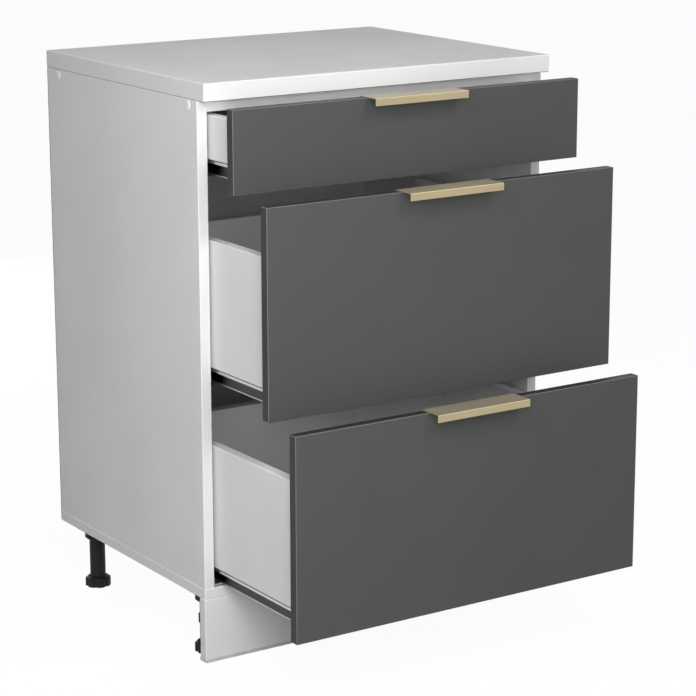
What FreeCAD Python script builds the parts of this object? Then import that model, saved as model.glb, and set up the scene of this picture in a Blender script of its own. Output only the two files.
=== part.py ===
"""Kitchen base cabinet, 600 wide, with three drawers on concealed full-extension runners.

Frame: X to the right, Y to the rear, Z up, millimetres. The fronts face -Y. The origin is on the
floor, in the middle of the box that the cabinet fills with its drawers pulled out as below: the top
drawer least, the bottom drawer most.
"""
import FreeCAD, Part
import math
import os

os.makedirs("parts", exist_ok=True)
V = FreeCAD.Vector

# ---------------------------------------------------------------- driving dimensions
# carcass
cabinet_width = 600.0
carcass_height = 727.0          # bottom board's underside to the worktop's underside
carcass_depth = 460.0           # with the back sheet
board = 16.0                    # laminated chipboard of the carcass, drawers and plinth
leg_space = 97.0                # floor to the bottom board
back_sheet = 3.0
back_inset = 1.0                # the back sheet stops short of the carcass's outer edges
rail_width = 96.0
worktop_thickness = 26.0
worktop_overhang = 20.0
edge_ease = 0.8                 # the edge bands' eased arrises
worktop_edge_ease = 1.2
cut_overrun = 1.0               # how far a cutter runs past the faces that it cuts through

# carcass screws and their caps
screw_head_radius = 5.0
screw_shank_radius = 3.0
screw_head_depth = 3.0
screw_length = 50.0
screw_hole_clearance = 0.1
front_rail_screw_inset = 25.0
rear_rail_screw_inset = 36.0
cap_radius = 6.8
cap_thickness = 1.2
cap_face_radius = 5.4

# drawer fronts, from the top drawer down; the bottom one takes what is left
front_board = 16.0
top_front_height = 118.0
middle_front_height = 297.0
front_gap = 3.0
top_reveal = 2.0
bottom_reveal = 8.0             # the bottom front starts this far above the bottom board's underside
side_reveal = 2.0
closed_gap = 2.0                # front's rear face to the carcass, drawer shut

# drawer boxes
box_length = 440.0
box_side_clearance = 5.0        # side board to the carcass side
box_lift = 36.5                 # front's bottom edge to the side board's bottom edge
shallow_drop = 19.5             # front's top edge to the box's top edge, top drawer
deep_drop = 75.5                # the same on the two deep drawers
back_drop_shallow = 8.0         # the back board ends below the sides
back_drop_middle = 29.0
back_drop_bottom = 8.0
inner_front_drop = 4.0
floor_sheet = 4.0
floor_recess = 13.0             # side board's bottom edge to the floor sheet's underside
groove_depth = 8.0
groove_clearance = 0.1

# how far each drawer's front stands off the carcass at rest
top_opening = 76.5
middle_opening = 162.0
bottom_opening = 230.0

# runners: pressed steel in three nested members
sheet = 1.2
runner_length = 450.0
runner_drop = 25.0              # side board's bottom edge to the runner's underside
rail_flange_height = 18.0
rail_channel_left = 27.4        # distances from the carcass side
rail_channel_right = 35.6
rail_lip_height = 5.0
member_side_gap = 1.6
rail_roller_radius = 2.1
slide_roller_radius = 3.1
roller_gap = 0.3
middle_length = 430.0
middle_setback = 14.0           # the middle member's front end behind the carcass front, drawer shut
middle_foot_height = 3.0
skirt_offset = 13.0             # the drawer member's outer wall, from the carcass side
skirt_clearance = 0.6
skirt_return = 3.5
lip_offset = 5.5                # the drawer member's outer lip, from the carcass side
lip_gap = 1.0                   # side board's bottom edge to the lip
lip_turn = 4.0                  # height of the lip's turned-down edge
slide_inner_foot = 9.0
hook_height = 20.0
tongue_width = 4.0
tongue_length = 9.0
tongue_hole_radius = 3.0
roller_inset = 30.0

# locking clips under the drawer floor
clip_width = 20.0
clip_length = 46.0
clip_height = 10.0
clip_ease = 2.0
clip_lever_length = 14.0
clip_lever_thickness = 4.0
clip_lever_gap = 3.0            # the lever is narrower than the clip and clear of the floor

# handles: a folded strip over the front's top edge
handle_length = 160.0
handle_sheet = 1.2
handle_reach = 23.0             # in front of the drawer front
handle_lip = 10.5
handle_flange = 14.0
handle_bend = 0.9

# legs
leg_side_inset = 31.0
leg_front_inset = 46.0
leg_rear_inset = 64.0
plate_size = 50.0
plate_thickness = 4.0
plate_corner = 6.0
socket_roof = 0.5
collar_radius = 19.0
collar_height = 16.0
collar_neck_radius = 14.0
collar_neck_height = 4.0
tube_radius = 12.3
tube_seat_clearance = 0.1
stem_radius = 6.0
stem_clearance = 0.06
stem_length = 46.0
stem_end_room = 1.0
foot_radius = 20.2
foot_rim_height = 11.0
foot_height = 15.0
foot_ring_radius = 17.0
foot_ring_ease = 1.4
foot_lobes = 7
lobe_flats = 3
notch_width = 4.5
notch_depth = 1.8
foot_running_gap = 0.3

# plinth
seal_thickness = 1.0
seal_height = 5.0
seal_floor_gap = 0.3
plinth_top_gap = 0.3
clip_ring_thickness = 1.8
clip_ring_height = 12.0
clip_ring_level = 45.0
clip_ring_opening = 8.0         # half the gap in the ring, behind the leg
clip_stalk_width = 12.0
clip_plate_width = 30.0
clip_plate_height = 26.0
clip_plate_thickness = 2.5

# ---------------------------------------------------------------- places worked out from them
opening = {"top": top_opening, "middle": middle_opening, "bottom": bottom_opening}
reach_forward = max(opening.values()) + front_board + handle_reach
carcass_front = (reach_forward - carcass_depth) / 2.0
carcass_rear = carcass_front + carcass_depth
panel_rear = carcass_rear - back_sheet
half_width = cabinet_width / 2.0
inner_half = half_width - board
bottom_top = leg_space + board
carcass_top = leg_space + carcass_height
rail_bottom = carcass_top - board
worktop_top = carcass_top + worktop_thickness

front_bottoms = {}
front_tops = {}
front_tops["top"] = carcass_top - top_reveal
front_bottoms["top"] = front_tops["top"] - top_front_height
front_tops["middle"] = front_bottoms["top"] - front_gap
front_bottoms["middle"] = front_tops["middle"] - middle_front_height
front_tops["bottom"] = front_bottoms["middle"] - front_gap
front_bottoms["bottom"] = leg_space + bottom_reveal

box_drop = {"top": shallow_drop, "middle": deep_drop, "bottom": deep_drop}
back_drop = {"top": back_drop_shallow, "middle": back_drop_middle, "bottom": back_drop_bottom}

box_outer_half = inner_half - box_side_clearance
box_inner_half = box_outer_half - board

leg_places = {
    "front_left": (-half_width + leg_side_inset, carcass_front + leg_front_inset),
    "front_right": (half_width - leg_side_inset, carcass_front + leg_front_inset),
    "rear_left": (-half_width + leg_side_inset, carcass_rear - leg_rear_inset),
    "rear_right": (half_width - leg_side_inset, carcass_rear - leg_rear_inset),
}


# ---------------------------------------------------------------- small tools
def block(x_range, y_range, z_range):
    """A rectangular board between two planes on each axis."""
    size = [high - low for low, high in (x_range, y_range, z_range)]
    return Part.makeBox(size[0], size[1], size[2], V(x_range[0], y_range[0], z_range[0]))


def eased_board(x_range, y_range, z_range, ease):
    """A board with all its edges eased."""
    body = block(x_range, y_range, z_range)
    return body.makeChamfer(ease, body.Edges)


def extruded_xz(points, y_start, y_end):
    """A profile drawn across the runner, given as (x, z) points, pulled along Y."""
    corners = [V(x, y_start, z) for x, z in points]
    face = Part.Face(Part.makePolygon(corners + corners[:1]))
    return face.extrude(V(0, y_end - y_start, 0))


def turned(points, place, direction=V(0, 0, 1)):
    """A profile of (radius, height) points turned round an axis through place."""
    corners = [V(radius, 0, height) for radius, height in points]
    face = Part.Face(Part.makePolygon(corners + corners[:1]))
    solid = face.revolve(V(0, 0, 0), V(0, 0, 1), 360)
    turn = FreeCAD.Rotation(V(0, 0, 1), direction)
    solid.Placement = FreeCAD.Placement(place, turn)
    return solid


def rod(radius, start, end):
    """A plain cylinder between two points."""
    along = end - start
    return Part.makeCylinder(radius, along.Length, start, along)


def mirrored(shape):
    """The same piece on the other side of the cabinet."""
    return shape.mirror(V(0, 0, 0), V(1, 0, 0))


def both_sides(shape):
    """A piece and its mirror image."""
    return [shape, mirrored(shape)]


def save(name, solids):
    """Write one node, with one solid or several alike."""
    shape = solids if isinstance(solids, Part.Shape) else Part.makeCompound(solids)
    shape = shape.removeSplitter()
    for solid in shape.Solids:
        if not solid.isValid():
            raise ValueError("bad solid in " + name)
    shape.exportStep("parts/%s.step" % name)
    print("%-28s %d solid(s) %9.0f mm3" % (name, len(shape.Solids), shape.Volume))


# ---------------------------------------------------------------- carcass
def panel_screw(place, direction, room=0.0):
    """A countersunk screw for chipboard, without its thread; with some room, the hole it sits in."""
    profile = [
        (0, 0),
        (screw_head_radius + room, 0),
        (screw_shank_radius + room, screw_head_depth),
        (screw_shank_radius + room, screw_length + room),
        (0, screw_length + room),
    ]
    return turned(profile, place, direction)


front_rail_screw_y = carcass_front + front_rail_screw_inset
rear_rail_screw_y = panel_rear - rear_rail_screw_inset
rail_screw_z = carcass_top - board / 2.0

screw_places = []
for screw_y in (front_rail_screw_y, rear_rail_screw_y):
    screw_places.append((V(-half_width, screw_y, rail_screw_z), V(1, 0, 0)))
    screw_places.append((V(half_width, screw_y, rail_screw_z), V(-1, 0, 0)))

screw_holes = Part.makeCompound(
    [panel_screw(place, way, screw_hole_clearance) for place, way in screw_places]
)


def side_panel():
    """The left side: it stands on the bottom board and carries the rails and the runners."""
    panel = eased_board(
        (-half_width, -inner_half), (carcass_front, panel_rear), (bottom_top, carcass_top), edge_ease
    )
    return panel.cut(screw_holes)


def bottom_panel():
    """The bottom board runs the full width, under both sides."""
    return eased_board(
        (-half_width, half_width), (carcass_front, panel_rear), (leg_space, bottom_top), edge_ease
    )


def top_rail(y_start):
    """A flat rail between the sides, which the worktop is screwed to."""
    rail = block((-inner_half, inner_half), (y_start, y_start + rail_width), (rail_bottom, carcass_top))
    return rail.cut(screw_holes)


def screw_cap(place, direction):
    """A shallow cap that covers a screw's head on the outside of a side."""
    profile = [
        (0, -cap_thickness),
        (cap_face_radius, -cap_thickness),
        (cap_radius, 0),
        (0, 0),
    ]
    return turned(profile, place, direction)


save("side_panel_left", side_panel())
save("side_panel_right", mirrored(side_panel()))
save("bottom_panel", bottom_panel())
save("top_rail_front", top_rail(carcass_front))
save("top_rail_rear", top_rail(panel_rear - rail_width))
save("back_panel", block(
    (-half_width + back_inset, half_width - back_inset),
    (panel_rear, carcass_rear),
    (leg_space + back_inset, carcass_top - back_inset),
))
save("worktop", eased_board(
    (-half_width, half_width),
    (carcass_front - worktop_overhang, carcass_rear),
    (carcass_top, worktop_top),
    worktop_edge_ease,
))
save("carcass_screws", [panel_screw(place, way) for place, way in screw_places])
save("screw_caps", [screw_cap(place, way) for place, way in screw_places])


# ---------------------------------------------------------------- legs
def socket(x, y):
    """The leg's socket: a plate screwed under the bottom board, with a collar for the tube."""
    half = plate_size / 2.0
    top = leg_space
    plate = block((x - half, x + half), (y - half, y + half), (top - plate_thickness, top))
    uprights = [edge for edge in plate.Edges if edge.BoundBox.ZLength > plate_thickness / 2.0]
    plate = plate.makeChamfer(plate_corner, uprights)
    seat_radius = tube_radius + tube_seat_clearance
    profile = [
        (0, -plate_thickness),
        (collar_radius, -plate_thickness),
        (collar_radius, -collar_height),
        (collar_neck_radius, -collar_height - collar_neck_height),
        (seat_radius, -collar_height - collar_neck_height),
        (seat_radius, -plate_thickness - socket_roof),
        (0, -plate_thickness - socket_roof),
    ]
    collar = turned(profile, V(x, y, top))
    return plate.fuse(collar)


tube_top = leg_space - plate_thickness - socket_roof
tube_bottom = foot_height + foot_running_gap
stem_bore_radius = stem_radius + stem_clearance
stem_top = foot_height + stem_length


def leg_tube(x, y):
    """The leg's tube: closed at the top, bored from below for the foot's stem."""
    profile = [
        (0, tube_top),
        (tube_radius, tube_top),
        (tube_radius, tube_bottom),
        (stem_bore_radius, tube_bottom),
        (stem_bore_radius, stem_top + stem_end_room),
        (0, stem_top + stem_end_room),
    ]
    return turned(profile, V(x, y, 0))


def at_angle(radius, degrees, height):
    """A point at a radius and an angle round the leg's axis."""
    angle = math.radians(degrees)
    return V(radius * math.cos(angle), radius * math.sin(angle), height)


def foot_rim():
    """The foot's outline: lobes of flats, with a notch for the fingertips between each two."""
    lobe_angle = 360.0 / foot_lobes
    notch_angle = math.degrees(notch_width / foot_radius)
    flat_angle = (lobe_angle - notch_angle) / lobe_flats
    points = []
    for lobe in range(foot_lobes):
        start = lobe * lobe_angle + notch_angle / 2.0
        end = start + lobe_angle - notch_angle
        for flat in range(lobe_flats + 1):
            points.append(at_angle(foot_radius, start + flat * flat_angle, 0))
        points.append(at_angle(foot_radius - notch_depth, end, 0))
        points.append(at_angle(foot_radius - notch_depth, end + notch_angle, 0))
    face = Part.Face(Part.makePolygon(points + points[:1]))
    return face.extrude(V(0, 0, foot_rim_height))


def foot_ring():
    """The ring on top of the foot, round the tube, in flats like the lobes'."""
    sides = foot_lobes * lobe_flats
    levels = (
        (foot_ring_radius, foot_rim_height),
        (foot_ring_radius, foot_height - foot_ring_ease),
        (foot_ring_radius - foot_ring_ease, foot_height),
    )
    rings = [[at_angle(radius, 360.0 * side / sides, height) for side in range(sides)]
             for radius, height in levels]
    outlines = [rings[0], rings[-1]]
    for low, high in zip(rings, rings[1:]):
        for side in range(sides):
            after = (side + 1) % sides
            outlines.append([low[side], low[after], high[after], high[side]])
    faces = [Part.Face(Part.makePolygon(points + points[:1])) for points in outlines]
    return Part.makeSolid(Part.makeShell(faces))


def foot(x, y):
    """The levelling foot: a lobed disc that is turned by hand, with a stem in the tube."""
    stem = rod(stem_radius, V(0, 0, foot_rim_height), V(0, 0, stem_top))
    body = foot_rim().fuse([foot_ring(), stem])
    body.translate(V(x, y, 0))
    return body


save("leg_sockets", [socket(x, y) for x, y in leg_places.values()])
save("leg_tubes", [leg_tube(x, y) for x, y in leg_places.values()])
for corner, (leg_x, leg_y) in leg_places.items():
    save("foot_" + corner, foot(leg_x, leg_y))


# ---------------------------------------------------------------- plinth
plinth_bottom = seal_floor_gap + seal_thickness
plinth_rear = carcass_front + board


def plinth_board():
    """The plinth board, flush with the carcass front."""
    return eased_board(
        (-half_width, half_width),
        (carcass_front, plinth_rear),
        (plinth_bottom, leg_space - plinth_top_gap),
        edge_ease,
    )


def plinth_seal():
    """A soft channel on the plinth's bottom edge, which keeps water out."""
    outer = block(
        (-half_width, half_width),
        (carcass_front - seal_thickness, plinth_rear + seal_thickness),
        (seal_floor_gap, seal_floor_gap + seal_height),
    )
    return outer.cut(block(
        (-half_width - cut_overrun, half_width + cut_overrun),
        (carcass_front, plinth_rear),
        (plinth_bottom, leg_space),
    ))


def plinth_clip(x, y):
    """A clip screwed to the plinth's rear, whose open ring snaps on a front leg's tube."""
    low = clip_ring_level
    high = low + clip_ring_height
    ring_inner = tube_radius + tube_seat_clearance
    ring_outer = ring_inner + clip_ring_thickness
    ring = rod(ring_outer, V(x, y, low), V(x, y, high))
    stalk = block(
        (x - clip_stalk_width / 2, x + clip_stalk_width / 2), (plinth_rear, y - ring_inner), (low, high)
    )
    middle = (low + high) / 2.0
    plate = block(
        (x - clip_plate_width / 2, x + clip_plate_width / 2),
        (plinth_rear, plinth_rear + clip_plate_thickness),
        (middle - clip_plate_height / 2, middle + clip_plate_height / 2),
    )
    below = low - cut_overrun
    above = high + cut_overrun
    mouth = block(
        (x - clip_ring_opening, x + clip_ring_opening), (y, y + 2 * ring_outer), (below, above)
    )
    bore = rod(ring_inner, V(x, y, below), V(x, y, above))
    return ring.fuse([stalk, plate]).cut([mouth, bore])


front_legs = [leg_places["front_left"], leg_places["front_right"]]
save("plinth_board", plinth_board())
save("plinth_seal", plinth_seal())
save("plinth_clips", [plinth_clip(x, y) for x, y in front_legs])

# ---------------------------------------------------------------- runners
# Profiles are drawn for the left runner. "across" is the distance from the carcass side and "up" is
# the height above the runner's underside.
floor_level = runner_drop + floor_recess
slide_top_under = floor_level - sheet
middle_top = slide_top_under - 2 * (slide_roller_radius + roller_gap)
rail_top = middle_top - sheet - 2 * (rail_roller_radius + roller_gap)
middle_left = rail_channel_left - member_side_gap - sheet
middle_right = rail_channel_right + member_side_gap + sheet
slide_left = middle_left - member_side_gap - sheet
slide_right = middle_right + member_side_gap + sheet
lip_top = runner_drop - lip_gap
lip_under = lip_top - sheet


def runner_profile(points, base_z, y_start, y_end):
    """A runner member from its (across, up) points."""
    placed = [(-inner_half + across, base_z + up) for across, up in points]
    return extruded_xz(placed, y_start, y_end)


def runner_rail(base_z):
    """The member that is screwed to the carcass side: flange, web and hooked channel."""
    points = [
        (0, 0),
        (rail_channel_left + sheet, 0),
        (rail_channel_left + sheet, rail_top - sheet),
        (rail_channel_right - sheet, rail_top - sheet),
        (rail_channel_right - sheet, rail_lip_height),
        (rail_channel_right, rail_lip_height),
        (rail_channel_right, rail_top),
        (rail_channel_left, rail_top),
        (rail_channel_left, sheet),
        (sheet, sheet),
        (sheet, rail_flange_height),
        (0, rail_flange_height),
    ]
    start = carcass_front + closed_gap
    return runner_profile(points, base_z, start, start + runner_length)


def middle_start(name):
    """The middle member has gone half as far as its drawer."""
    return carcass_front + middle_setback - (opening[name] - closed_gap) / 2.0


def runner_middle(base_z, start):
    """The middle member: a channel over the rail."""
    points = [
        (middle_left, middle_foot_height),
        (middle_left + sheet, middle_foot_height),
        (middle_left + sheet, middle_top - sheet),
        (middle_right - sheet, middle_top - sheet),
        (middle_right - sheet, middle_foot_height),
        (middle_right, middle_foot_height),
        (middle_right, middle_top),
        (middle_left, middle_top),
    ]
    return runner_profile(points, base_z, start, start + middle_length)


def runner_rollers(base_z, start):
    """Steel rollers between the members: on the rail at the rear, under the drawer at the front."""
    rail_y = start + middle_length - roller_inset
    rail_z = base_z + rail_top + roller_gap + rail_roller_radius
    rail_left = -inner_half + rail_channel_left
    rail_right = -inner_half + rail_channel_right
    slide_y = start + roller_inset
    slide_z = base_z + middle_top + roller_gap + slide_roller_radius
    slide_start = -inner_half + middle_left
    slide_end = -inner_half + middle_right
    return [
        rod(rail_roller_radius, V(rail_left, rail_y, rail_z), V(rail_right, rail_y, rail_z)),
        rod(slide_roller_radius, V(slide_start, slide_y, slide_z), V(slide_end, slide_y, slide_z)),
    ]


def runner_slide(base_z, front_y):
    """The drawer member: a channel under the floor, with a lip and a skirt under the side board."""
    points = [
        (skirt_offset, sheet + skirt_clearance),
        (skirt_offset + skirt_return, sheet + skirt_clearance),
        (skirt_offset + skirt_return, 2 * sheet + skirt_clearance),
        (skirt_offset + sheet, 2 * sheet + skirt_clearance),
        (skirt_offset + sheet, lip_under),
        (slide_left + sheet, lip_under),
        (slide_left + sheet, slide_top_under),
        (slide_right - sheet, slide_top_under),
        (slide_right - sheet, slide_inner_foot),
        (slide_right, slide_inner_foot),
        (slide_right, floor_level),
        (slide_left, floor_level),
        (slide_left, lip_top),
        (lip_offset, lip_top),
        (lip_offset, lip_top - lip_turn),
        (lip_offset + sheet, lip_top - lip_turn),
        (lip_offset + sheet, lip_under),
        (skirt_offset, lip_under),
    ]
    rear = front_y + box_length
    body = runner_profile(points, base_z, front_y, rear)
    hook_left = -inner_half + slide_left
    hook_right = -inner_half + slide_right + board
    hook_middle = (-box_inner_half + hook_right) / 2.0
    tongue_z = base_z + floor_level + hook_height / 2.0
    hook = block(
        (hook_left, hook_right),
        (rear, rear + sheet),
        (base_z + slide_top_under, base_z + floor_level + hook_height),
    )
    tongue = block(
        (hook_middle - tongue_width / 2.0, hook_middle + tongue_width / 2.0),
        (rear - tongue_length, rear),
        (tongue_z - sheet / 2.0, tongue_z + sheet / 2.0),
    )
    return body.fuse([hook, tongue]), (hook_middle, tongue_z)


def locking_clip(base_z, front_y):
    """The clip that holds the drawer on its runner: a moulded block with a finger lever."""
    left = -inner_half + slide_right
    top = base_z + floor_level
    body = block((left, left + clip_width), (front_y, front_y + clip_length), (top - clip_height, top))
    lower = [edge for edge in body.Edges if abs(edge.BoundBox.ZMax - (top - clip_height)) < 0.01]
    body = body.makeChamfer(clip_ease, lower)
    lever_top = top - clip_lever_gap
    lever = block(
        (left + clip_lever_gap, left + clip_width - clip_lever_gap),
        (front_y + clip_length, front_y + clip_length + clip_lever_length),
        (lever_top - clip_lever_thickness, lever_top),
    )
    return body.fuse(lever)


# ---------------------------------------------------------------- drawers
def drawer_front(name, front_y):
    """The decorative front."""
    return eased_board(
        (-half_width + side_reveal, half_width - side_reveal),
        (front_y - front_board, front_y),
        (front_bottoms[name], front_tops[name]),
        edge_ease,
    )


def handle(name, front_y):
    """A folded strip: flange behind the front, plate over its top edge, lip hanging in front."""
    top = front_tops[name]
    rear = front_y + handle_sheet
    nose = front_y - front_board - handle_reach
    points = [
        (nose, top + handle_sheet - handle_lip),
        (nose, top + handle_sheet),
        (rear, top + handle_sheet),
        (rear, top - handle_flange),
        (front_y, top - handle_flange),
        (front_y, top),
        (nose + handle_sheet, top),
        (nose + handle_sheet, top + handle_sheet - handle_lip),
    ]
    half = handle_length / 2.0
    corners = [V(-half, y, z) for y, z in points]
    face = Part.Face(Part.makePolygon(corners + corners[:1]))
    strip = face.extrude(V(handle_length, 0, 0))
    bends = [edge for edge in strip.Edges if edge.BoundBox.XLength > half
             and abs(edge.BoundBox.ZMax - (top + handle_sheet)) < 0.01]
    return strip.makeFillet(handle_bend, bends)


def box_side(name, front_y, base, top):
    """A drawer side, grooved for the floor sheet."""
    side = eased_board(
        (-box_outer_half, -box_inner_half), (front_y, front_y + box_length), (base, top), edge_ease
    )
    floor_z = base + floor_recess
    groove = block(
        (-box_inner_half - groove_depth - groove_clearance, -box_inner_half + cut_overrun),
        (front_y - cut_overrun, front_y + box_length + cut_overrun),
        (floor_z - groove_clearance, floor_z + floor_sheet + groove_clearance),
    )
    return side.cut(groove)


def drawer(number, name):
    """One whole drawer with its runners, at its place at rest."""
    front_y = carcass_front - opening[name]
    base = front_bottoms[name] + box_lift
    top = front_tops[name] - box_drop[name]
    floor_z = base + floor_recess
    floor_top = floor_z + floor_sheet
    rear = front_y + box_length
    runner_z = base - runner_drop

    slide, (tongue_x, tongue_z) = runner_slide(runner_z, front_y)
    back_start = rear - board - cut_overrun
    back_end = rear + cut_overrun
    tongue_holes = [
        rod(tongue_hole_radius, V(x, back_start, tongue_z), V(x, back_end, tongue_z))
        for x in (tongue_x, -tongue_x)
    ]

    save("drawer_%d_front" % number, drawer_front(name, front_y))
    save("drawer_%d_handle" % number, handle(name, front_y))
    side = box_side(name, front_y, base, top)
    save("drawer_%d_side_left" % number, side)
    save("drawer_%d_side_right" % number, mirrored(side))
    save("drawer_%d_inner_front" % number, block(
        (-box_inner_half, box_inner_half), (front_y, front_y + board), (floor_top, top - inner_front_drop)
    ))
    save("drawer_%d_back" % number, block(
        (-box_inner_half, box_inner_half), (rear - board, rear), (floor_top, top - back_drop[name])
    ).cut(tongue_holes))
    save("drawer_%d_floor" % number, block(
        (-box_inner_half - groove_depth, box_inner_half + groove_depth), (front_y, rear),
        (floor_z, floor_top)
    ))
    save("drawer_%d_runner_left" % number, slide)
    save("drawer_%d_runner_right" % number, mirrored(slide))
    save("drawer_%d_locking_clips" % number, both_sides(locking_clip(runner_z, front_y)))

    rail = runner_rail(runner_z)
    save("runner_%d_rail_left" % number, rail)
    save("runner_%d_rail_right" % number, mirrored(rail))
    start = middle_start(name)
    save("runner_%d_middles" % number, both_sides(runner_middle(runner_z, start)))
    rollers = runner_rollers(runner_z, start)
    save("runner_%d_rollers" % number, rollers + [mirrored(roller) for roller in rollers])


for drawer_number, drawer_name in enumerate(("top", "middle", "bottom"), start=1):
    drawer(drawer_number, drawer_name)

print("carcass front at y = %.2f, floor to worktop = %.1f" % (carcass_front, worktop_top))
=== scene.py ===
# %% [markdown]
# # A base cabinet with three drawers
# The cabinet arrives as a frame of finished boards and fittings. This lesson gives every one of
# them its finish, adds the small fasteners that a joiner would look for, and sets up the light and
# the camera. Lengths are in metres. X runs to the right, Y to the rear and Z up.

# %% Load the frame
import math
import bmesh
import bpy
from mathutils import Matrix, Vector


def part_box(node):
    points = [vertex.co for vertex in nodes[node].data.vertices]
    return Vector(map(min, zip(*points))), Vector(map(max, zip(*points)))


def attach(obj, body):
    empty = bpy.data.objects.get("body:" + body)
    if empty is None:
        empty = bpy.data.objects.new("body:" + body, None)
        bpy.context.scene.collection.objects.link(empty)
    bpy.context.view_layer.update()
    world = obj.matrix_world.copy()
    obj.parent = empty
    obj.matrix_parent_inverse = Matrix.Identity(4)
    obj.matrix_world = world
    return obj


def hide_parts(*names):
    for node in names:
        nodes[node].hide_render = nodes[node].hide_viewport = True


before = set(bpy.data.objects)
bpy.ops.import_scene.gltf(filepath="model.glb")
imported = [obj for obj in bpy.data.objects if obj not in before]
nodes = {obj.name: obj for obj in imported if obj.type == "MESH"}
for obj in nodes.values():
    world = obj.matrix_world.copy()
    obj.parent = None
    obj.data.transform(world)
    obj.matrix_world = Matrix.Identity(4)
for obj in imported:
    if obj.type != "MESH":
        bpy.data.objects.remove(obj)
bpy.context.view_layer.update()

# %% [markdown]
# The places of the small parts are worked out from the boxes of the boards that carry them, so
# they follow the frame. A few boxes are used again and again and get a name here.

# %% Boxes of the main boards
MM = 0.001
side_low, side_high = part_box("side_panel_left")
bottom_low, bottom_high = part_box("bottom_panel")
back_low, back_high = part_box("back_panel")
plinth_low, plinth_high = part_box("plinth_board")
board = side_high.x - side_low.x
half_width = -side_low.x
inner_half = half_width - board
drawers = (1, 2, 3)
sides = (("left", -1), ("right", 1))
print("board", round(board / MM, 1), "mm, carcass front at y =", round(side_low.y, 4))

# %% [markdown]
# A material is a small network of nodes. Written by hand that gets long, so two helpers keep it
# readable. `Signal` wraps a socket: adding or multiplying signals adds the Math nodes. `Finish`
# makes a material and any other node in it.

# %% Helpers for materials
class Signal:
    """The output of a node, which can be used in sums."""

    def __init__(self, finish, socket):
        self.finish = finish
        self.socket = socket

    def sum(self, operation, *terms, clamp=False):
        settings = {"operation": operation, "use_clamp": clamp}
        return self.finish.node("ShaderNodeMath", settings, dict(enumerate(terms)))

    def __add__(self, other):
        return self.sum("ADD", self, other)

    def __radd__(self, other):
        return self.sum("ADD", other, self)

    def __sub__(self, other):
        return self.sum("SUBTRACT", self, other)

    def __rsub__(self, other):
        return self.sum("SUBTRACT", other, self)

    def __mul__(self, other):
        return self.sum("MULTIPLY", self, other)

    def __rmul__(self, other):
        return self.sum("MULTIPLY", other, self)

    def __abs__(self):
        return self.sum("ABSOLUTE", self)

    def above(self, limit):
        """1 where the signal is above the limit, else 0."""
        return self.sum("GREATER_THAN", self, limit)

    def largest(self, other):
        return self.sum("MAXIMUM", self, other)

    def clamped(self):
        return self.sum("ADD", self, 0.0, clamp=True)

    def spread(self, low, high, start=0.0, end=1.0):
        """The stretch from low to high, mapped smoothly to start and end."""
        settings = {"interpolation_type": "SMOOTHSTEP"}
        values = {"Value": self, "From Min": low, "From Max": high, "To Min": start, "To Max": end}
        return self.finish.node("ShaderNodeMapRange", settings, values)


class Finish:
    """A material with one Principled shader, and the ways to add nodes to it."""

    def __init__(self, name, colour, roughness, metallic=0.0):
        self.material = bpy.data.materials.new(name)
        self.material.use_nodes = True
        self.tree = self.material.node_tree
        self.shader = self.tree.nodes["Principled BSDF"]
        self.set("Base Color", colour)
        self.set("Roughness", roughness)
        self.set("Metallic", metallic)

    def node(self, kind, settings=None, values=None, output=0):
        """Adds a node: first its settings, then the values or signals of its sockets."""
        made = self.tree.nodes.new(kind)
        for key, value in (settings or {}).items():
            setattr(made, key, value)
        for key, value in (values or {}).items():
            self.feed(made.inputs[key], value)
        return Signal(self, made.outputs[output])

    def feed(self, socket, value):
        """Links a signal to a socket, or writes a plain value into it."""
        if isinstance(value, Signal):
            self.tree.links.new(value.socket, socket)
        elif hasattr(socket.default_value, "__len__") and len(socket.default_value) == 4:
            socket.default_value = (*value, 1.0) if len(value) == 3 else value
        else:
            socket.default_value = value

    def set(self, socket_name, value):
        """Feeds a socket of the Principled shader."""
        self.feed(self.shader.inputs[socket_name], value)

    def place(self):
        """The point on the object, in metres."""
        return self.node("ShaderNodeTexCoord", output="Object")

    def axes(self, vector):
        """The X, Y and Z of a vector as three signals."""
        split = self.node("ShaderNodeSeparateXYZ", values={"Vector": vector}).socket.node
        return [Signal(self, split.outputs[index]) for index in range(3)]

    def normal(self):
        """The way that the flat face looks, before any smoothing or bump."""
        return self.node("ShaderNodeNewGeometry", output="True Normal")

    def looks(self, *ways):
        """1 on the flat faces that look along one of the ways, such as (0, 1, 0)."""
        mask = None
        for way in ways:
            settings = {"operation": "DOT_PRODUCT"}
            values = {0: self.normal(), 1: way}
            match = self.node("ShaderNodeVectorMath", settings, values, output="Value").above(0.95)
            mask = match if mask is None else mask.largest(match)
        return mask

    def noise(self, scale, detail=3.0, roughness=0.5, stretch=(1, 1, 1)):
        """Cloudy noise, whose size in metres is about 1 / scale. Stretch over 1 squeezes it."""
        where = self.node("ShaderNodeMapping", values={"Vector": self.place(), "Scale": stretch})
        values = {"Vector": where, "Scale": scale, "Detail": detail, "Roughness": roughness}
        return self.node("ShaderNodeTexNoise", {"noise_dimensions": "3D"}, values)

    def mix(self, factor, first, second):
        """Colour mix: first where the factor is 0, second where it is 1."""
        settings = {"data_type": "RGBA", "blend_type": "MIX"}
        return self.node("ShaderNodeMix", settings, {0: factor, 6: first, 7: second}, output=2)

    def bump(self, height, strength, distance):
        """Relief from a height signal. The distance is in metres."""
        values = {"Height": height, "Strength": strength, "Distance": distance}
        self.set("Normal", self.node("ShaderNodeBump", values=values))


def shade(colour, factor):
    """The same colour, lighter or darker."""
    return [channel * factor for channel in colour]


def dress(finish, *names):
    """Gives a finish to carried-over nodes or to new pieces."""
    for name in names:
        thing = nodes.get(name) or bpy.data.objects[name]
        thing.data.materials.clear()
        thing.data.materials.append(finish.material)
    print(finish.material.name, "->", len(names), "pieces")

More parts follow.
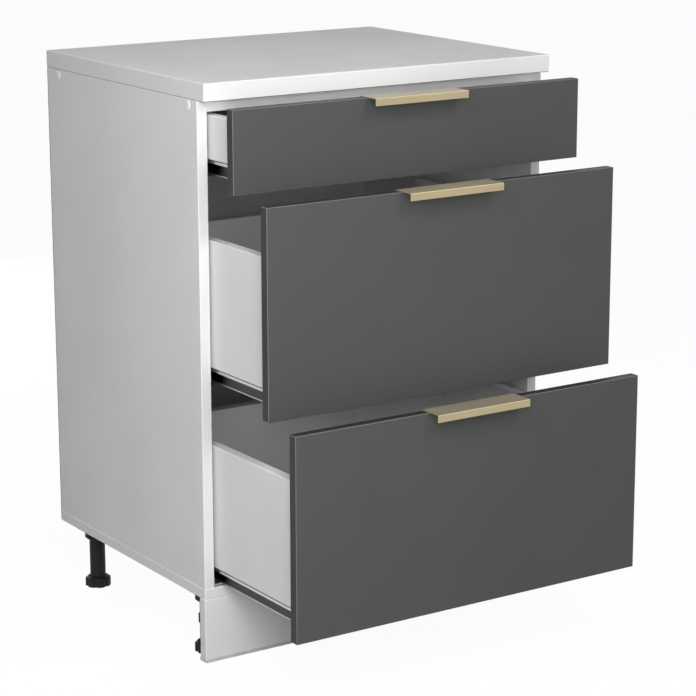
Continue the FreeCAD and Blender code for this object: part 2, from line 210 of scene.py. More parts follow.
# %% [markdown]
# ## Laminated board
# The carcass, the drawer boxes and the plinth are chipboard with a white melamine skin. The skin is
# almost flat, with a fine pearl texture that only breaks up the reflections. The edge band is
# scraped to a small arris, which is smoother than the face and gets a lighter colour, a painted
# highlight as a thin line. Where a board lies on another, its lower arris is painted darker instead,
# a painted shade line at the seam. Edges that nobody sees are left raw, and there the chips show.
# All of it hangs on which way a face looks, so no face needs to be marked by hand.

# %% Laminated board
def arris_mask(finish):
    """1 on the narrow eased edges of a board, whose faces look along none of the axes."""
    across, along, up = finish.axes(finish.normal())
    squareness = abs(across).largest(abs(along)).largest(abs(up))
    return 1.0 - squareness.spread(0.80, 0.95)


def chipboard(finish):
    """The colour and the relief of raw chipboard: pressed chips of pale and brown wood."""
    where = finish.node("ShaderNodeMapping", values={"Vector": finish.place(), "Scale": (1, 1, 2.4)})
    chips = finish.node("ShaderNodeTexVoronoi", values={"Vector": where, "Scale": 380.0}, output="Color")
    relief = finish.axes(chips)[0]
    return finish.mix(relief.spread(0.15, 0.95), (0.52, 0.38, 0.24), (0.27, 0.17, 0.09)), relief


def laminate(name, colour, roughness, pearl, painted_arris_highlight, raw_ways=(), band_tone=1.0, painted_seam_shade=None):
    """A laminated board, raw on the faces that look along raw_ways.

    The arris tone paints a highlight by making its eased edges lighter, the band tone makes its side,
    top and bottom edges darker, and the seam tone paints shade on the arris that looks down.
    """
    finish = Finish(name, colour, roughness)
    cloud = finish.noise(7.0, detail=4.0)
    fine = finish.noise(2600.0, detail=2.0)
    arris = arris_mask(finish)
    skin = finish.mix(cloud.spread(0.35, 0.7, 0.0, 0.6), colour, shade(colour, 0.96))
    if band_tone < 1.0:
        band = finish.looks(left_way, right_way, up_way, down_way)
        skin = finish.mix(band, skin, shade(colour, band_tone))
    # Painted highlight: the eased arris is made lighter than the skin.
    skin = finish.mix(arris * 0.9, skin, shade(colour, painted_arris_highlight))
    # Painted shade: the arris that looks down is made darker, as a seam line.
    if painted_seam_shade:
        across, along, up = finish.axes(finish.normal())
        skin = finish.mix(arris * (0.0 - up).above(0.5), skin, shade(colour, painted_seam_shade))
    smoothness = roughness + cloud.spread(0.3, 0.7, -0.04, 0.05) + fine * 0.06 - arris * 0.1
    relief = fine
    if raw_ways:
        raw = finish.looks(*raw_ways)
        chips, chip_relief = chipboard(finish)
        skin = finish.mix(raw, skin, chips)
        smoothness = smoothness * (1.0 - raw) + raw * 0.85
        relief = fine * (1.0 - raw) + chip_relief * raw * 4.0
    finish.set("Base Color", skin)
    finish.set("Roughness", smoothness)
    finish.bump(relief, pearl, 0.04 * MM)
    return finish


white = (0.80, 0.80, 0.80)
# The arris tone is a painted highlight on the eased edges.
white_skin = {"colour": white, "roughness": 0.46, "pearl": 0.25, "painted_arris_highlight": 1.18}
up_way, down_way, rear_way, front_way = (0, 0, 1), (0, 0, -1), (0, 1, 0), (0, -1, 0)
left_way, right_way = (-1, 0, 0), (1, 0, 0)
carcass_board = laminate("white_carcass_board", **white_skin, raw_ways=(rear_way,))
dress(
    carcass_board,
    "side_panel_left", "side_panel_right", "bottom_panel", "top_rail_front", "top_rail_rear",
)
plinth_finish = laminate("white_plinth_board", **white_skin)
dress(plinth_finish, "plinth_board")
side_board = laminate("white_drawer_side", **white_skin, raw_ways=(rear_way, down_way))
dress(side_board, *[f"drawer_{n}_side_{side}" for n in drawers for side, sign in sides])
cross_board = laminate("white_drawer_cross_board", **white_skin, raw_ways=(down_way,))
dress(cross_board, *[f"drawer_{n}_{piece}" for n in drawers for piece in ("inner_front", "back")])

# %% [markdown]
# The worktop is a thicker board with a tougher laminate, whose texture is a little coarser. Its
# rear edge goes against the wall and stays raw.

# %% Worktop
# Its lower arris is painted darker, a painted shade line at the seam.
worktop_board = laminate(
    "white_worktop_laminate", white, roughness=0.52, pearl=0.4, painted_arris_highlight=1.16,
    raw_ways=(rear_way,), painted_seam_shade=0.35,
)
dress(worktop_board, "worktop")

# %% [markdown]
# ## Fibreboard sheets
# The back and the drawer floors are thin hardboard. The back is lacquered white on the face that
# shows, the floors on both faces. The rest keeps the brown of the pressed fibres.

# %% Fibreboard
def lacquered_sheet(name, *white_ways):
    """Hardboard, white on the faces that look along the given ways."""
    lacquer_colour = (0.76, 0.76, 0.755)
    finish = Finish(name, lacquer_colour, 0.5)
    fibres = finish.noise(900.0, detail=4.0, roughness=0.65, stretch=(1, 1, 0.4))
    cloud = finish.noise(9.0, detail=4.0)
    brown = finish.mix(fibres.spread(0.3, 0.7), (0.30, 0.19, 0.11), (0.19, 0.115, 0.062))
    brown = finish.mix(cloud.spread(0.4, 0.65, 0.0, 0.4), brown, (0.24, 0.15, 0.085))
    lacquer = finish.mix(cloud.spread(0.35, 0.7, 0.0, 0.6), lacquer_colour, (0.73, 0.73, 0.725))
    coated = finish.looks(*white_ways)
    finish.set("Base Color", finish.mix(coated, brown, lacquer))
    finish.set("Roughness", 0.78 - coated * 0.3 + fibres * 0.08)
    finish.bump(fibres * (1.2 - coated), 0.5, 0.08 * MM)
    return finish


dress(lacquered_sheet("white_back_sheet", front_way), "back_panel")
floor_sheet = lacquered_sheet("white_drawer_floor", up_way, down_way)
dress(floor_sheet, *[f"drawer_{n}_floor" for n in drawers])

# %% [markdown]
# ## Dark grey drawer fronts
# The fronts are laminated too, in a matte dark grey that leans slightly to green. Their edge band
# is darker than the face, and its arrises are painted lighter than both, a painted highlight. A
# matte skin reflects less than a polished one, so the specular level is lowered on the shader's
# own socket.

# %% Drawer fronts
dark_grey = (0.067, 0.070, 0.068)
# Painted highlight: the arris tone makes the arrises much lighter.
front_grey = laminate(
    "dark_grey_front", dark_grey, roughness=0.5, pearl=0.3, painted_arris_highlight=2.3, band_tone=0.26
)
front_grey.set("Specular IOR Level", 0.3)
dress(front_grey, *[f"drawer_{n}_front" for n in drawers])

# %% [markdown]
# ## Metal
# The handles are brushed brass: fine scratches that run along the strip. The scratches are noise
# that is stretched along one axis, and it feeds colour, roughness and relief alike. The top face
# is painted browner and darker than the lip, a painted shade, and half of its metal is made
# non-metallic; the folds between them are painted lighter, a painted highlight.

# %% Brushed and plated metal
def brushed_metal(name, colour, roughness, stretch, second=None, where=None, film=0.0, painted_fold_highlight=None):
    """Metal with a grain. With a mask, the second colour is used where the mask is 1.

    There a share of the metal can be made non-metallic. The second colour is a painted shade or a
    painted reflection, and the fold tone paints a highlight by making the bends and eased edges lighter.
    """
    finish = Finish(name, colour, roughness, 1.0)
    grain = finish.noise(900.0, detail=3.0, roughness=0.6, stretch=stretch)
    cloud = finish.noise(12.0, detail=3.0)
    tone = finish.mix(grain.spread(0.3, 0.75, 0.0, 0.5), colour, shade(colour, 0.8))
    if second:
        masked = where(finish)
        tone = finish.mix(masked, tone, second)
        if film:
            finish.set("Metallic", 1.0 - masked * film)
    # Painted highlight: the bends and eased edges are made lighter.
    if painted_fold_highlight:
        tone = finish.mix(arris_mask(finish), tone, shade(colour, painted_fold_highlight))
    finish.set("Base Color", tone)
    finish.set("Roughness", roughness + grain * 0.16 + cloud.spread(0.3, 0.7, -0.05, 0.06) - 0.08)
    finish.bump(grain, 0.25, 0.05 * MM)
    return finish


brass_colour = (0.475, 0.405, 0.255)
painted_shade_brass_colour = (0.40, 0.345, 0.24)
along_x, along_y = (0.02, 1, 1), (1, 0.03, 1)
# Painted shade on the top face, painted highlight on the folds.
brass = brushed_metal(
    "brushed_brass", brass_colour, 0.46, along_x, painted_shade_brass_colour,
    lambda finish: finish.looks(up_way), film=0.5, painted_fold_highlight=1.6,
)
dress(brass, *[f"drawer_{n}_handle" for n in drawers])

# %% [markdown]
# The runners are pressed from zinc-plated steel. The fixed rails and the middle members are pale.
# The drawer members get a dark colour, a painted dark reflection, and the turned-down lip under
# the side board gets a pale zinc colour, a painted bright reflection, so one mask picks out what
# lies outside the dark wall.

# %% Zinc-plated steel
zinc_colour = (0.55, 0.56, 0.58)
zinc = brushed_metal("zinc_plated_steel", zinc_colour, 0.34, along_y)
dress(
    zinc,
    "carcass_screws",
    *[f"runner_{n}_rail_{side}" for n in drawers for side, sign in sides],
    *[f"runner_{n}_{piece}" for n in drawers for piece in ("middles", "rollers")],
)
skirt_offset = 13.0 * MM
skirt_face = inner_half - skirt_offset


def outer_lip(finish):
    """1 outside the dark wall of the drawer member, on both sides of the cabinet."""
    across, along, up = finish.axes(finish.place())
    return abs(across).above(skirt_face + 0.2 * MM)


painted_lip_reflection_colour = shade(zinc_colour, 0.95)
# Painted reflections: a dark colour on the wall of the drawer member, pale zinc on its lip.
painted_reflection_steel = brushed_metal(
    "runner_steel_painted_reflections", (0.045, 0.046, 0.046), 0.30, along_y, painted_lip_reflection_colour, outer_lip
)
dress(painted_reflection_steel, *[f"drawer_{n}_runner_{side}" for n in drawers for side, sign in sides])

# %% [markdown]
# ## Moulded plastics
# The legs, the clips and the caps are injection moulded. A fine spark-eroded grain from the mould
# breaks up their shine.

# %% Plastics
def moulded(name, colour, roughness, grain_depth=0.35):
    """Plastic with the mould's grain."""
    finish = Finish(name, colour, roughness)
    grain = finish.noise(1500.0, detail=3.0)
    cloud = finish.noise(30.0)
    finish.set("Base Color", finish.mix(cloud.spread(0.35, 0.7), colour, shade(colour, 0.85)))
    finish.set("Roughness", roughness + cloud.spread(0.3, 0.7, -0.05, 0.07))
    finish.bump(grain, grain_depth, 0.06 * MM)
    return finish


black_plastic = moulded("black_leg_plastic", (0.010, 0.010, 0.010), 0.58)
black_plastic.set("Specular IOR Level", 0.22)
dress(
    black_plastic,
    "leg_sockets", "leg_tubes", "plinth_clips",
    "foot_front_left", "foot_front_right", "foot_rear_left", "foot_rear_right",
)
cap_plastic = moulded("white_cap_plastic", (0.93, 0.93, 0.92), 0.26, 0.1)
dress(cap_plastic, "screw_caps")
seal_plastic = moulded("pale_seal_plastic", (0.60, 0.60, 0.59), 0.4)
dress(seal_plastic, "plinth_seal")
clip_plastic = moulded("grey_clip_plastic", (0.16, 0.165, 0.17), 0.45)
dress(clip_plastic, *[f"drawer_{n}_locking_clips" for n in drawers])

# %% [markdown]
# ## Small parts
# Screws, nails and caps are each modelled once, standing on the floor at the origin and looking up.
# Then they are copied to their places. An operator acts on all that is selected, so every one of
# these helpers begins by selecting nothing.

# %% Helpers for modelling
hair = 0.01 * MM


def start_fresh():
    """Selects nothing."""
    bpy.ops.object.select_all(action="DESELECT")


def select_only(thing):
    start_fresh()
    thing.select_set(True)
    bpy.context.view_layer.objects.active = thing


def edit(thing):
    """Goes into edit mode with everything selected."""
    select_only(thing)
    bpy.ops.object.mode_set(mode="EDIT")
    bpy.ops.mesh.select_mode(type="FACE")
    bpy.ops.mesh.select_all(action="SELECT")


def leave_edit():
    bpy.ops.object.mode_set(mode="OBJECT")


def pick_faces(test):
    """In edit mode, selects the faces that pass the test and no others."""
    bpy.ops.mesh.select_mode(type="FACE")
    bpy.ops.mesh.select_all(action="DESELECT")
    shape = bmesh.from_edit_mesh(bpy.context.object.data)
    for face in shape.faces:
        if test(face):
            face.select_set(True)
    bmesh.update_edit_mesh(bpy.context.object.data)


def pick_edges(test):
    """In edit mode, selects the edges whose two ends pass the test and no others."""
    bpy.ops.mesh.select_mode(type="EDGE")
    bpy.ops.mesh.select_all(action="DESELECT")
    shape = bmesh.from_edit_mesh(bpy.context.object.data)
    for edge in shape.edges:
        if all(test(corner.co) for corner in edge.verts):
            edge.select_set(True)
    bmesh.update_edit_mesh(bpy.context.object.data)


def raise_top(rise, shrink):
    """Pulls the selected faces up and draws them in: one step of a dome."""
    bpy.ops.mesh.extrude_region_move(TRANSFORM_OT_translate={"value": (0, 0, rise)})
    bpy.ops.transform.resize(value=(shrink, shrink, 1))


def cylinder(name, corners, radius, depth, bottom=0.0):
    """A cylinder that stands on the height called bottom."""
    start_fresh()
    bpy.ops.mesh.primitive_cylinder_add(
        vertices=corners, radius=radius, depth=depth, location=(0, 0, bottom + depth / 2)
    )
    made = bpy.context.object
    made.name = name
    bpy.ops.object.transform_apply(location=True, rotation=True, scale=True)
    return made


def block(name, low, high):
    """A block between two corners."""
    start_fresh()
    low, high = Vector(low), Vector(high)
    bpy.ops.mesh.primitive_cube_add(size=1.0, location=(low + high) / 2, scale=high - low)
    made = bpy.context.object
    made.name = name
    bpy.ops.object.transform_apply(location=True, rotation=True, scale=True)
    return made


def carve(piece, cutter):
    """Takes the cutter's shape out of the piece and throws the cutter away."""
    select_only(piece)
    step = piece.modifiers.new("carve", "BOOLEAN")
    step.operation = "DIFFERENCE"
    step.solver = "EXACT"
    step.object = cutter
    bpy.ops.object.modifier_apply(modifier=step.name)
    bpy.data.objects.remove(cutter, do_unlink=True)


def round_off(piece, angle=35.0):
    """Shades the flat steps of a curve as one smooth surface."""
    select_only(piece)
    bpy.ops.object.shade_smooth_by_angle(angle=math.radians(angle))


def repeat(pattern, name, places, body, finish):
    """Copies a pattern to its places, each (point, way it looks), and joins the copies."""
    copies = []
    for point, way in places:
        copy = pattern.copy()
        copy.data = pattern.data.copy()
        bpy.context.collection.objects.link(copy)
        turn = Vector(way).to_track_quat("Z", "Y").to_matrix().to_4x4()
        copy.matrix_world = Matrix.Translation(point) @ turn
        copies.append(copy)
    start_fresh()
    for copy in copies:
        copy.select_set(True)
    bpy.context.view_layer.objects.active = copies[0]
    if len(copies) > 1:
        bpy.ops.object.join()
    bpy.ops.object.transform_apply(location=True, rotation=True, scale=True)
    piece = bpy.context.object
    piece.name = name
    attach(piece, body)
    dress(finish, name)
    print(name, "x", len(places), "faces", len(piece.data.polygons))
    return piece

# %% [markdown]
# A pan head is a low cylinder whose top is pulled up in three shrinking steps. The cross recess is
# carved with a tapered blade, once straight and once turned by a quarter.

# %% Pan-head screw
def blade(length, width, depth, top):
    """A tapered blade that points down, with its middle at the height called top."""
    made = block("blade", (-length / 2, -width / 2, top - depth), (length / 2, width / 2, top + depth))
    edit(made)
    pick_faces(lambda face: face.normal.z < -0.9)
    bpy.ops.transform.resize(value=(0.45, 0.6, 1))
    leave_edit()
    return made


def cross_recess(head, length, top):
    """Carves a cross recess into a head, whose top is at the given height."""
    for quarter in (0, 1):
        cutter = blade(length, 0.22 * length, 0.41 * length, top)
        cutter.rotation_euler.z = quarter * math.pi / 2
        bpy.context.view_layer.update()
        carve(head, cutter)


def pan_head(radius):
    """A screw head with a domed top and a cross recess."""
    head = cylinder("pan_head", 24, radius, 0.30 * radius)
    edit(head)
    pick_faces(lambda face: face.normal.z > 0.9)
    raise_top(0.16 * radius, 0.94)
    raise_top(0.12 * radius, 0.86)
    raise_top(0.06 * radius, 0.72)
    leave_edit()
    cross_recess(head, 1.1 * radius, 0.64 * radius)
    round_off(head)
    return head


large_head = pan_head(3.6 * MM)
small_head = pan_head(3.0 * MM)
print("pan head:", len(large_head.data.polygons), "faces")

# %% [markdown]
# Every leg socket is held by four screws through its plate, and every plinth clip by two.

# %% Socket and clip screws
leg_half = 269.0 * MM
socket_low, socket_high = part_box("leg_sockets")
plate_half = 25.0 * MM
plate_thickness = 4.0 * MM
plate_face = bottom_low.z - plate_thickness
screw_step = 17.5 * MM
leg_rows = (socket_low.y + plate_half, socket_high.y - plate_half)
socket_points = [
    (Vector((x + dx, y + dy, plate_face)), down_way)
    for x in (-leg_half, leg_half) for y in leg_rows
    for dx in (-screw_step, screw_step) for dy in (-screw_step, screw_step)
]
repeat(large_head, "leg_socket_screws", socket_points, "carcass", zinc)

clip_low, clip_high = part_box("plinth_clips")
clip_middle = (clip_low.z + clip_high.z) / 2
clip_thickness = 2.5 * MM
clip_face = plinth_high.y + clip_thickness
clip_step = 9.5 * MM
clip_points = [
    (Vector((x, clip_face, clip_middle + dz)), rear_way)
    for x in (-leg_half, leg_half) for dz in (-clip_step, clip_step)
]
repeat(small_head, "plinth_clip_screws", clip_points, "carcass", zinc)

# %% [markdown]
# The fixed rails are screwed to the sides through their flanges, three screws in each.

# %% Rail screws
rail_screw_rows = (37.0 * MM, 229.0 * MM, 405.0 * MM)
rail_screw_height = 11.0 * MM
sheet = 1.2 * MM
rail_points = []
for n in drawers:
    for side, sign in sides:
        rail_low, rail_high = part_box(f"runner_{n}_rail_{side}")
        for row in rail_screw_rows:
            point = Vector((sign * (inner_half - sheet), rail_low.y + row, rail_low.z + rail_screw_height))
            rail_points.append((point, (-sign, 0, 0)))
repeat(small_head, "rail_screws", rail_points, "carcass", zinc)

# %% [markdown]
# The front is screwed on from inside the box, and the handle from behind its flange. There the
# heads are flat, because a shut drawer leaves only 2 mm behind its front. A flat head is a thin
# disc with a bevelled rim and a shallow cross. The worktop is held by four screws that come up
# through the rails.

# %% Front, handle and worktop screws
flat_height = 0.4 * MM
flat_head = cylinder("flat_head", 24, 2.8 * MM, flat_height)
edit(flat_head)
pick_edges(lambda co: co.z > flat_height - hair)
bpy.ops.mesh.bevel(offset=0.25 * MM, segments=2)
leave_edit()
cross_recess(flat_head, 3.2 * MM, flat_height)
round_off(flat_head)
front_screw_reach, front_screw_inset = 190.0 * MM, 45.0 * MM
handle_screw_reach, handle_screw_height = 60.0 * MM, 4.5 * MM
for n in drawers:
    inner_low, inner_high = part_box(f"drawer_{n}_inner_front")
    middle = (inner_low.z + inner_high.z) / 2
    tall_rows = (inner_low.z + front_screw_inset, inner_high.z - front_screw_inset)
    rows = (middle,) if n == 1 else tall_rows
    front_points = [
        (Vector((x, inner_high.y, z)), rear_way)
        for x in (-front_screw_reach, front_screw_reach) for z in rows
    ]
    repeat(large_head, f"drawer_{n}_front_screws", front_points, f"drawer_{n}", zinc)
    handle_low, handle_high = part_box(f"drawer_{n}_handle")
    handle_points = [
        (Vector((x, handle_high.y, handle_low.z + handle_screw_height)), rear_way)
        for x in (-handle_screw_reach, handle_screw_reach)
    ]
    repeat(flat_head, f"drawer_{n}_handle_screws", handle_points, f"drawer_{n}", zinc)

worktop_screw_reach = 200.0 * MM
worktop_points = []
for rail in ("top_rail_front", "top_rail_rear"):
    rail_low, rail_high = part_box(rail)
    rail_middle = (rail_low.y + rail_high.y) / 2
    for x in (-worktop_screw_reach, worktop_screw_reach):
        worktop_points.append((Vector((x, rail_middle, rail_low.z)), down_way))
repeat(large_head, "worktop_screws", worktop_points, "carcass", zinc)

# %% [markdown]
# The back sheet is nailed all round. A nail head is a thin disc, drawn in slightly at the top.

# %% Back nails
nail = cylinder("nail_head", 12, 2.4 * MM, 0.25 * MM)
edit(nail)
pick_faces(lambda face: face.normal.z > 0.9)
raise_top(0.2 * MM, 0.8)
raise_top(0.08 * MM, 0.6)
leave_edit()
round_off(nail, 50.0)
nail_inset = 8.0 * MM
nail_low = back_low + Vector((nail_inset, 0, nail_inset))
nail_high = back_high - Vector((nail_inset, 0, nail_inset))
nail_rows = 8
nail_columns = 6
nail_points = []
for row in range(nail_rows):
    z = nail_low.z + (nail_high.z - nail_low.z) * row / (nail_rows - 1)
    for x in (nail_low.x, nail_high.x):
        nail_points.append((Vector((x, back_high.y, z)), rear_way))
for column in range(1, nail_columns):
    x = nail_low.x + (nail_high.x - nail_low.x) * column / nail_columns
    for z in (nail_low.z, nail_high.z):
        nail_points.append((Vector((x, back_high.y, z)), rear_way))
repeat(nail, "back_sheet_nails", nail_points, "carcass", zinc)

# %% [markdown]
# The sides stand on the bottom board and are held from below by wide screws with a hexagon socket,
# driven flush. The head is a disc with a bevelled rim, and the socket is carved with a six-sided
# cylinder.

# %% Bottom board screws
wide_height = 0.5 * MM
wide_head = cylinder("wide_head", 32, 5.0 * MM, wide_height)
edit(wide_head)
pick_edges(lambda co: co.z > wide_height - hair)
bpy.ops.mesh.bevel(offset=0.3 * MM, segments=2)
leave_edit()
carve(wide_head, cylinder("hexagon", 6, 2.3 * MM, 1.0 * MM, 0.15 * MM))
round_off(wide_head, 40.0)
bottom_inset = 50.0 * MM
side_middle = (side_low.y + side_high.y) / 2
bottom_points = [
    (Vector((x, y, bottom_low.z)), down_way)
    for x in (-half_width + board / 2, half_width - board / 2)
    for y in (side_low.y + bottom_inset, side_middle, side_high.y - bottom_inset)
]
repeat(wide_head, "bottom_board_screws", bottom_points, "carcass", zinc)

# %% [markdown]
# ## Screw caps
# Four caps cover the screws that hold the top rails. Each is a thin disc with a domed face and a
# small nick in its rim, where a knife lifts it off. They replace the plain discs of the frame.

# %% Screw caps
cap_radius = 6.8 * MM
nick_depth, nick_half, nick_height = 0.6 * MM, 0.9 * MM, 0.45 * MM
cap = cylinder("cap", 40, cap_radius, 0.55 * MM)
edit(cap)
pick_faces(lambda face: face.normal.z > 0.9)
raise_top(0.32 * MM, 0.965)
raise_top(0.24 * MM, 0.86)
raise_top(0.10 * MM, 0.72)
raise_top(0.03 * MM, 0.40)
leave_edit()
nick_low = (cap_radius - nick_depth, -nick_half, -0.1 * MM)
nick_high = (cap_radius + nick_depth, nick_half, nick_height)
carve(cap, block("nick", nick_low, nick_high))
round_off(cap, 40.0)
screws_low, screws_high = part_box("carcass_screws")
screw_height = (screws_low.z + screws_high.z) / 2
head_radius = 5.0 * MM
cap_points = [
    (Vector((sign * half_width, y, screw_height)), (sign, 0, 0))
    for y in (screws_low.y + head_radius, screws_high.y - head_radius) for side, sign in sides
]
caps = repeat(cap, "domed_screw_caps", cap_points, "carcass", cap_plastic)
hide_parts("screw_caps")

# %% [markdown]
# ## Levelling feet
# A foot is turned by hand, so its rim has lobes with notches between them, and its crown closes in
# round the tube. The rim starts as a cylinder of 84 sides. Three sides at each notch are drawn
# towards the axis all at once, by scaling them about the origin. The rims are then bevelled, the
# crown is a second cylinder with a groove for the tube, and the sole is hollowed.

# %% Levelling foot
foot_radius = 20.2 * MM
rim_height = 12.8 * MM
lobes = 7
steps_per_lobe = 12
half_step = 180.0 / (lobes * steps_per_lobe)


def in_notch(face):
    """Whether a face of the rim is one of the three at a notch."""
    middle = face.calc_center_median()
    pitch = 360.0 / lobes
    angle = math.degrees(math.atan2(middle.y, middle.x))
    off_notch = abs((angle + pitch / 2) % pitch - pitch / 2)
    return abs(face.normal.z) < 0.5 and off_notch < 3.2 * half_step


foot = cylinder("foot", lobes * steps_per_lobe, foot_radius, rim_height)
edit(foot)
bpy.ops.transform.rotate(value=math.radians(half_step), orient_axis="Z", center_override=(0, 0, 0))
pick_faces(in_notch)
bpy.ops.transform.resize(value=(0.91, 0.91, 1), center_override=(0, 0, 0))
pick_edges(lambda co: co.z > rim_height - hair)
bpy.ops.mesh.bevel(offset=1.2 * MM, segments=3)
pick_edges(lambda co: co.z < hair)
bpy.ops.mesh.bevel(offset=0.7 * MM, segments=2)
pick_faces(lambda face: face.normal.z < -0.999)
bpy.ops.mesh.inset(thickness=2.4 * MM)
bpy.ops.transform.translate(value=(0, 0, 1.2 * MM))
leave_edit()
print("foot rim:", len(foot.data.polygons), "faces")

# %% Foot crown and stem
crown_radius = 17.8 * MM
crown_height = 15.0 * MM
crown_ease = 1.8 * MM
groove_radius = 13.5 * MM
groove_depth = 1.6 * MM
crown = cylinder("crown", 72, crown_radius, crown_height - rim_height + MM, rim_height - MM)
edit(crown)
pick_edges(lambda co: co.z > crown_height - hair)
bpy.ops.mesh.bevel(offset=crown_ease, segments=4)
pick_faces(lambda face: face.normal.z > 0.99)
bpy.ops.mesh.inset(thickness=crown_radius - crown_ease - groove_radius)
bpy.ops.mesh.extrude_region_move(TRANSFORM_OT_translate={"value": (0, 0, -groove_depth)})
leave_edit()
stem_radius = 6.0 * MM
stem_foot = 12.0 * MM
stem_top = 61.0 * MM
stem = cylinder("stem", 32, stem_radius, stem_top - stem_foot, stem_foot)
edit(stem)
pick_edges(lambda co: co.z > stem_top - hair)
bpy.ops.mesh.bevel(offset=MM, segments=2)
leave_edit()
start_fresh()
for part in (foot, crown, stem):
    part.select_set(True)
bpy.context.view_layer.objects.active = foot
bpy.ops.object.join()
round_off(foot, 38.0)
for corner in ("front_left", "front_right", "rear_left", "rear_right"):
    y = leg_rows[0] if corner.startswith("front") else leg_rows[1]
    x = -leg_half if corner.endswith("left") else leg_half
    made = repeat(
        foot, "levelling_foot_" + corner, [(Vector((x, y, 0.0)), up_way)],
        "foot_" + corner, black_plastic,
    )
    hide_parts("foot_" + corner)

# %% [markdown]
# ## Runner details
# The lower edge of the drawer member is rolled over to a bead, which is the bright line under each
# open drawer. It starts as a thin cylinder that lies along the runner, and its ends are bevelled.
# Rivets of dark steel hold the couplings to the wall behind.

# %% Rolled beads
bead_radius = 0.95 * MM
for n in drawers:
    for side, sign in sides:
        member_low, member_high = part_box(f"drawer_{n}_runner_{side}")
        box_low, box_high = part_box(f"drawer_{n}_side_{side}")
        length = box_high.y - box_low.y
        bead = cylinder(f"bead_{n}_{side}", 12, bead_radius, length)
        edit(bead)
        pick_edges(lambda co: co.z < hair or co.z > length - hair)
        bpy.ops.mesh.bevel(offset=0.4 * MM, segments=2)
        leave_edit()
        round_off(bead, 40.0)
        start = Vector((sign * (skirt_face + 0.2 * MM), box_low.y, member_low.z + bead_radius))
        repeat(
            bead, f"drawer_{n}_runner_bead_{side}", [(start, rear_way)],
            f"drawer_{n}", zinc,
        )
        bpy.data.objects.remove(bead, do_unlink=True)

# %% Rivets
rivet = cylinder("rivet_head", 20, 2.2 * MM, 0.25 * MM)
edit(rivet)
pick_faces(lambda face: face.normal.z > 0.9)
raise_top(0.30 * MM, 0.90)
raise_top(0.20 * MM, 0.72)
raise_top(0.08 * MM, 0.55)
leave_edit()
round_off(rivet, 50.0)
rivet_rows = (20.0 * MM, 52.0 * MM, 405.0 * MM)
rivet_steel = brushed_metal("dark_rivet_steel", (0.06, 0.061, 0.061), 0.35, (1, 1, 1))
for n in drawers:
    rivet_points = []
    for side, sign in sides:
        member_low, member_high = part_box(f"drawer_{n}_runner_{side}")
        box_low, box_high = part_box(f"drawer_{n}_side_{side}")
        height = (member_low.z + box_low.z) / 2 - MM
        for row in rivet_rows:
            rivet_points.append((Vector((sign * skirt_face, box_low.y + row, height)), (sign, 0, 0)))
    repeat(rivet, f"drawer_{n}_runner_rivets", rivet_points, f"drawer_{n}", rivet_steel)

# %% Put the patterns away
for pattern in (large_head, small_head, flat_head, nail, wide_head, cap, foot, rivet):
    bpy.data.objects.remove(pattern, do_unlink=True)

# %% [markdown]
# ## Floor and background
# The cabinet stands on a plain pale floor. Its paint keeps a soft shadow, and for the camera and
# for reflections most of it glows white, so the background is bright without more light on the
# cabinet.

# %% Floor
start_fresh()
bpy.ops.mesh.primitive_plane_add(size=60.0, location=(0, 0, 0))
floor = bpy.context.object
floor.name = "studio_floor"
floor_paint = Finish("studio_floor_paint", (0.36, 0.36, 0.36), 0.9)
glow_strength, glow_share = 1.12, 0.85
seen = floor_paint.node("ShaderNodeLightPath").socket.node.outputs
watched = Signal(floor_paint, seen["Is Camera Ray"]) + Signal(floor_paint, seen["Is Glossy Ray"])
watched = (watched + Signal(floor_paint, seen["Is Transmission Ray"])).clamped()
glow = floor_paint.node("ShaderNodeEmission", values={"Color": (1.0, 1.0, 1.0), "Strength": glow_strength})
paint = Signal(floor_paint, floor_paint.shader.outputs[0])
mixed = floor_paint.node("ShaderNodeMixShader", values={0: watched * glow_share, 1: paint, 2: glow})
floor_output = floor_paint.tree.nodes["Material Output"]
floor_paint.tree.links.new(mixed.socket, floor_output.inputs["Surface"])
floor.data.materials.append(floor_paint.material)

# %% [markdown]
# The world does the same. It looks white to the camera and in reflections, but it gives the cabinet
# only a little light, so the lamps make the shading.

# %% World
fill_light = 0.11
world = bpy.data.worlds.new("studio")
bpy.context.scene.world = world
world.use_nodes = True
sky = world.node_tree
background = sky.nodes["Background"]
background.inputs["Color"].default_value = (1.0, 1.0, 1.0, 1.0)
path = sky.nodes.new("ShaderNodeLightPath")
total = path.outputs["Is Camera Ray"]
for ray in ("Is Glossy Ray", "Is Transmission Ray"):
    join = sky.nodes.new("ShaderNodeMath")
    join.operation = "ADD"
    join.use_clamp = True
    sky.links.new(total, join.inputs[0])
    sky.links.new(path.outputs[ray], join.inputs[1])
    total = join.outputs[0]
strength = sky.nodes.new("ShaderNodeMapRange")
strength.inputs["To Min"].default_value = fill_light
strength.inputs["To Max"].default_value = 1.0
sky.links.new(total, strength.inputs["Value"])
sky.links.new(strength.outputs[0], background.inputs["Strength"])

# %% [markdown]
# ## Lamps
# The photo's light comes from the front, slightly to the left, and falls off to the rear and to the
# lower right. Near softboxes give that fall-off: one from above for the worktop, one in front, one
# at the front end of the side, and a low one that reaches into the open drawers. The last two are
# there for the views of the right side and the back. They stay below the worktop, and the rear one
# near the middle, because the worktop and the right side would mirror them otherwise.

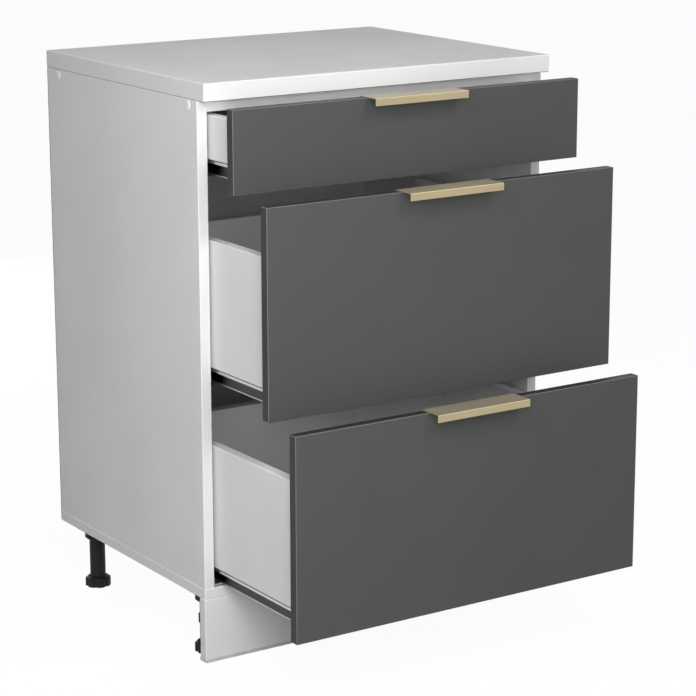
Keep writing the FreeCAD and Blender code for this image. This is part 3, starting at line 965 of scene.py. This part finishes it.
# %% Lamps
def softbox(name, place, target, size, power):
    """A square lamp that looks at a point."""
    lamp = bpy.data.lights.new(name, "AREA")
    lamp.shape = "SQUARE"
    lamp.size = size
    lamp.energy = power
    holder = bpy.data.objects.new(name, lamp)
    bpy.context.collection.objects.link(holder)
    holder.location = place
    holder.rotation_euler = (Vector(target) - Vector(place)).to_track_quat("-Z", "Y").to_euler()
    return holder


softbox("top_softbox", (0.4, -1.7, 2.3), (0.05, -0.2, 0.6), 0.8, 18.0)
softbox("front_softbox", (-0.75, -1.6, 1.2), (0.0, -0.2, 0.5), 0.7, 13.2)
softbox("left_softbox", (-1.4, -0.95, 1.7), (-0.3, -0.1, 0.6), 0.7, 10.8)
softbox("low_softbox", (-1.2, -1.5, 0.75), (-0.1, -0.1, 0.4), 0.6, 8.2)
softbox("right_softbox", (2.4, -0.05, 0.46), (0.3, 0.1, 0.45), 0.7, 13.0)
softbox("rear_softbox", (0.1, 2.8, 0.46), (0.0, 0.3, 0.45), 0.7, 28.0)

# %% [markdown]
# ## Camera
# Uprights stay upright in the photo, as under a rising lens. Here the lens isn't shifted, so that
# the cabinet stays in view from every side, and the camera's place and length were fitted to the
# cabinet's corners instead.

# %% Camera
camera_place = Vector((-1.9317, -2.9414, 1.2752))
camera_heading = math.radians(33.46)
camera_pitch = math.radians(13.76)
camera_roll = math.radians(-0.11)
focal_pixels = 2386.6
picture_pixels = 696.0
lens = bpy.data.cameras.new("photo_camera")
lens.sensor_width = 36.0
lens.lens = lens.sensor_width * focal_pixels / picture_pixels
camera = bpy.data.objects.new("photo_camera", lens)
bpy.context.collection.objects.link(camera)
turn = Matrix.Rotation(-camera_heading, 4, "Z") @ Matrix.Rotation(math.pi / 2 - camera_pitch, 4, "X")
turn = turn @ Matrix.Rotation(camera_roll, 4, "Z")
camera.matrix_world = Matrix.Translation(camera_place) @ turn
lens.clip_end = 100.0
bpy.context.scene.camera = camera

# %% View settings
bpy.context.scene.view_settings.view_transform = "Standard"
